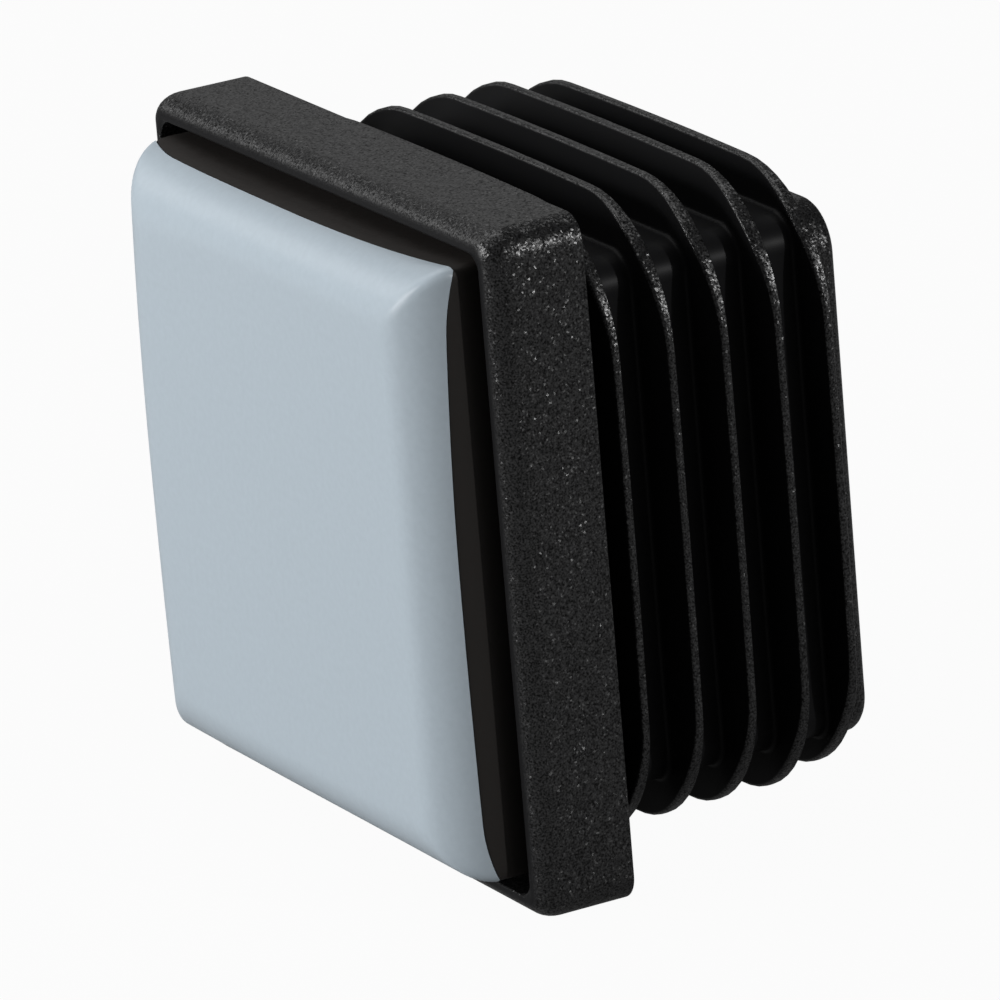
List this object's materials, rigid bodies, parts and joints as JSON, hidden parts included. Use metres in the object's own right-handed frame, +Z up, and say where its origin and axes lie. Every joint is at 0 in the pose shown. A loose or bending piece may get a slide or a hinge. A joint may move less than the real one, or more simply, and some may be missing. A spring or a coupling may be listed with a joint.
{
  "type": "square tube glide",
  "caption": "Push-in glide for a square tube: a black lamella plug with a tray-shaped square head that holds a rubber pad capped in pale grey PTFE.",
  "frame": {"origin": "middle of the flat gliding face, on the plug's axis", "axes": "+Y along the plug's axis, from the gliding face up into the tube; +Z up as the glide lies in the picture; +X to the right of someone who faces the pad"},
  "size_m": [0.03, 0.0214, 0.03],
  "materials": {
    "moulded_polyethylene": "satin",
    "pad_rubber": "matte",
    "ptfe_sheet": "satin",
    "adhesive_film": "matte"
  },
  "bodies": {
    "root": {"insert_body": "moulded_polyethylene", "pad_core": "pad_rubber", "glide_cap": "ptfe_sheet", "pad_adhesive": "adhesive_film"}
  },
  "joints": []
}
